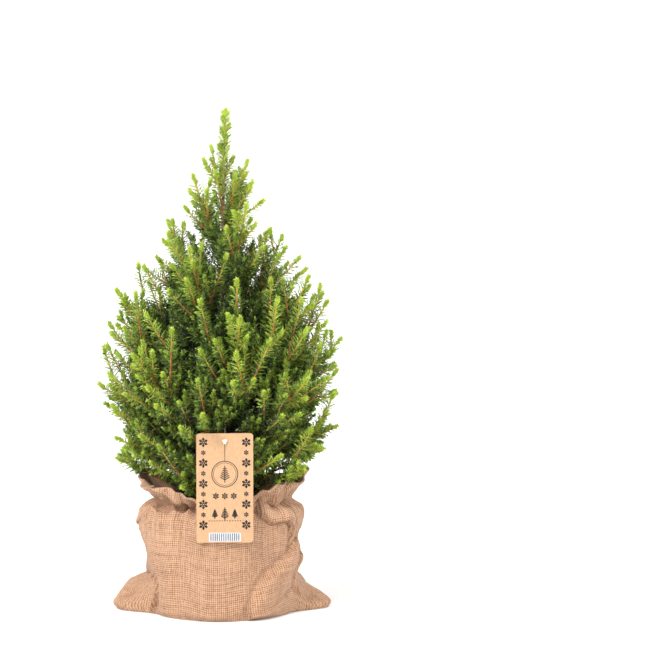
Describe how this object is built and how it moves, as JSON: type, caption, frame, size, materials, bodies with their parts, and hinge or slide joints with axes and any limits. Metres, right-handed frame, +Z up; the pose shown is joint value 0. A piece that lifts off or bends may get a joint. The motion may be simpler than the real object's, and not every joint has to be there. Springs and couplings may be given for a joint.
{
  "type": "potted alberta spruce",
  "caption": "Small dense conical spruce with ascending boughs and lime shoot tips, in a nursery pot inside a gathered burlap sack, with a card hang tag.",
  "frame": {"origin": "on the ground under the middle of the pot, at the flat underside of the sack", "axes": "+Z up along the trunk, -Y towards the front, where the hang tag hangs, +X to the viewer's right"},
  "size_m": [0.2616, 0.2553, 0.5255],
  "materials": {
    "bark": "matte",
    "foliage": "matte",
    "pot_plastic": "satin",
    "potting_soil": "matte",
    "burlap": "matte",
    "kraft_card": "matte",
    "cotton_string": "matte"
  },
  "bodies": {
    "root": {"bough_01": "bark", "bough_02": "bark", "bough_03": "bark", "bough_04": "bark", "bough_05": "bark", "bough_06": "bark", "bough_07": "bark", "bough_08": "bark", "bough_09": "bark", "bough_10": "bark", "bough_11": "bark", "bough_12": "bark", "bough_13": "bark", "bough_14": "bark", "bough_15": "bark", "bough_16": "bark", "bough_17": "bark", "bough_18": "bark", "mass_01": "foliage", "mass_02": "foliage", "mass_03": "foliage", "mass_04": "foliage", "mass_05": "foliage", "mass_06": "foliage", "mass_07": "foliage", "mass_08": "foliage", "mass_09": "foliage", "mass_10": "foliage", "mass_11": "foliage", "mass_12": "foliage", "mass_13": "foliage", "mass_14": "foliage", "mass_15": "foliage", "mass_16": "foliage", "mass_17": "foliage", "mass_18": "foliage", "mass_19": "foliage", "mass_20": "foliage", "mass_21": "foliage", "mass_22": "foliage", "mass_23": "foliage", "mass_24": "foliage", "mass_25": "foliage", "mass_26": "foliage", "mass_27": "foliage", "mass_28": "foliage", "mass_29": "foliage", "mass_30": "foliage", "mass_31": "foliage", "mass_32": "foliage", "mass_leader": "foliage", "pot": "pot_plastic", "sack": "burlap", "soil": "potting_soil", "tag": "kraft_card", "tag_string": "cotton_string", "trunk": "bark"}
  },
  "joints": []
}
